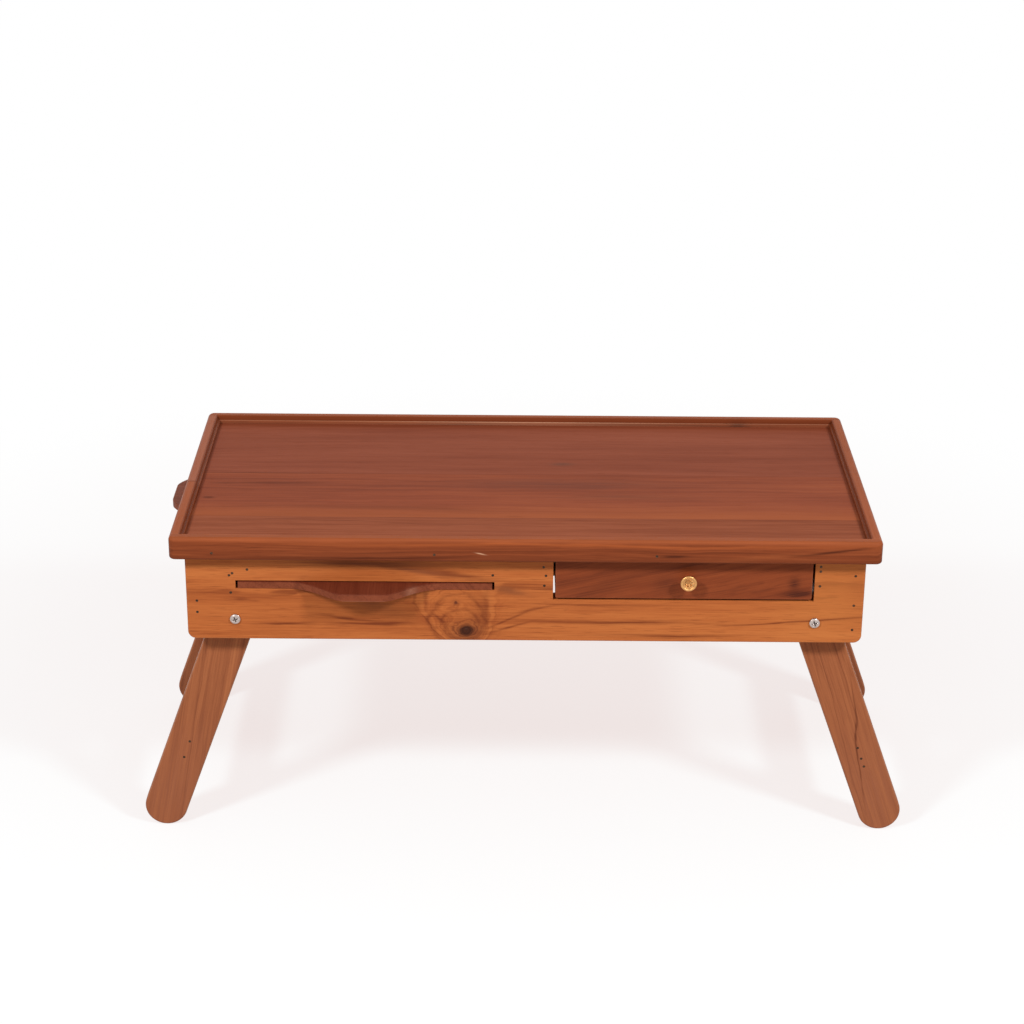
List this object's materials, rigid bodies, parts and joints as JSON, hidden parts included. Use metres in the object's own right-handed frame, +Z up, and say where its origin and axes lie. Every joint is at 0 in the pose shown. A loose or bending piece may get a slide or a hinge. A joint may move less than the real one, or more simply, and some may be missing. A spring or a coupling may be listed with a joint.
{
  "type": "lap desk",
  "caption": "Wooden lap desk: rimmed tray top on a shallow box with a drawer, boards that slide out to the front and side, and folding splayed legs.",
  "frame": {"origin": "on the floor, under the middle of the whole desk's bounding box with the legs open and the drawer and boards closed", "axes": "+X to the right as seen from the drawer's side, +Y to the back, +Z up; the drawer and the front board open towards -Y and the side board towards -X"},
  "size_m": [0.6834, 0.319, 0.296],
  "materials": {
    "top_plank_wood": "polished red-brown teak",
    "lipping_wood": "polished red-brown teak",
    "apron_wood": "polished orange-brown teak",
    "drawer_front_wood": "polished dark red-brown teak",
    "slide_board_wood": "polished dark red-brown teak",
    "leg_wood": "polished brown teak",
    "inner_wood": "plain sawn wood",
    "drawer_bottom_wood": "thin plain board",
    "knob_brass": "turned, lacquered",
    "screw_chrome": "bright plated",
    "fitting_steel": "plain zinced",
    "nail_steel": "dull"
  },
  "bodies": {
    "desk": {"top_plank_front": "top_plank_wood", "top_plank_middle": "top_plank_wood", "top_plank_back": "top_plank_wood", "front_lipping": "lipping_wood", "back_lipping": "lipping_wood", "left_lipping": "lipping_wood", "right_lipping": "lipping_wood", "lipping_nails": "nail_steel", "front_apron": "apron_wood", "back_apron": "apron_wood", "front_apron_nails": "nail_steel", "back_apron_nails": "nail_steel", "left_side_board": "apron_wood", "right_side_board": "apron_wood", "centre_divider": "inner_wood", "drawer_guide": "inner_wood", "front_drawer_slat": "inner_wood", "back_drawer_slat": "inner_wood", "drawer_slat_nails": "nail_steel", "front_board_left_runner": "inner_wood", "front_board_right_runner": "inner_wood", "side_board_front_batten": "inner_wood", "side_board_back_batten": "inner_wood", "pivot_screws": "screw_chrome", "pivot_spacers": "fitting_steel", "pivot_washers": "fitting_steel", "pivot_nuts": "fitting_steel"},
    "left_legs": {"left_front_leg": "leg_wood", "left_rear_leg": "leg_wood", "left_stretcher": "leg_wood", "left_leg_nails": "nail_steel"},
    "right_legs": {"right_front_leg": "leg_wood", "right_rear_leg": "leg_wood", "right_stretcher": "leg_wood", "right_leg_nails": "nail_steel"},
    "drawer": {"drawer_front": "drawer_front_wood", "drawer_left_side": "inner_wood", "drawer_right_side": "inner_wood", "drawer_back": "inner_wood", "drawer_bottom": "drawer_bottom_wood", "drawer_nails": "nail_steel", "drawer_knob": "knob_brass", "drawer_knob_screw": "fitting_steel"},
    "front_board": {"front_board": "slide_board_wood", "front_board_stop": "inner_wood", "front_board_stop_nails": "nail_steel"},
    "side_board": {"side_board": "slide_board_wood", "side_board_stop": "inner_wood", "side_board_stop_nails": "nail_steel"}
  },
  "joints": [
    {"name": "left_leg_fold", "type": "hinge", "parent": "desk", "child": "left_legs", "pos_m": [-0.2514, 0.007, 0.21493], "axis": [0, -1, 0], "range_deg": [0, 110]},
    {"name": "right_leg_fold", "type": "hinge", "parent": "desk", "child": "right_legs", "pos_m": [0.2514, 0.007, 0.21493], "axis": [0, 1, 0], "range_deg": [0, 110]},
    {"name": "drawer_slide", "type": "slide", "parent": "desk", "child": "drawer", "axis": [0, -1, 0], "range_m": [0, 0.17]},
    {"name": "front_board_slide", "type": "slide", "parent": "desk", "child": "front_board", "axis": [0, -1, 0], "range_m": [0, 0.14]},
    {"name": "side_board_slide", "type": "slide", "parent": "desk", "child": "side_board", "axis": [-1, 0, 0], "range_m": [0, 0.14]}
  ]
}
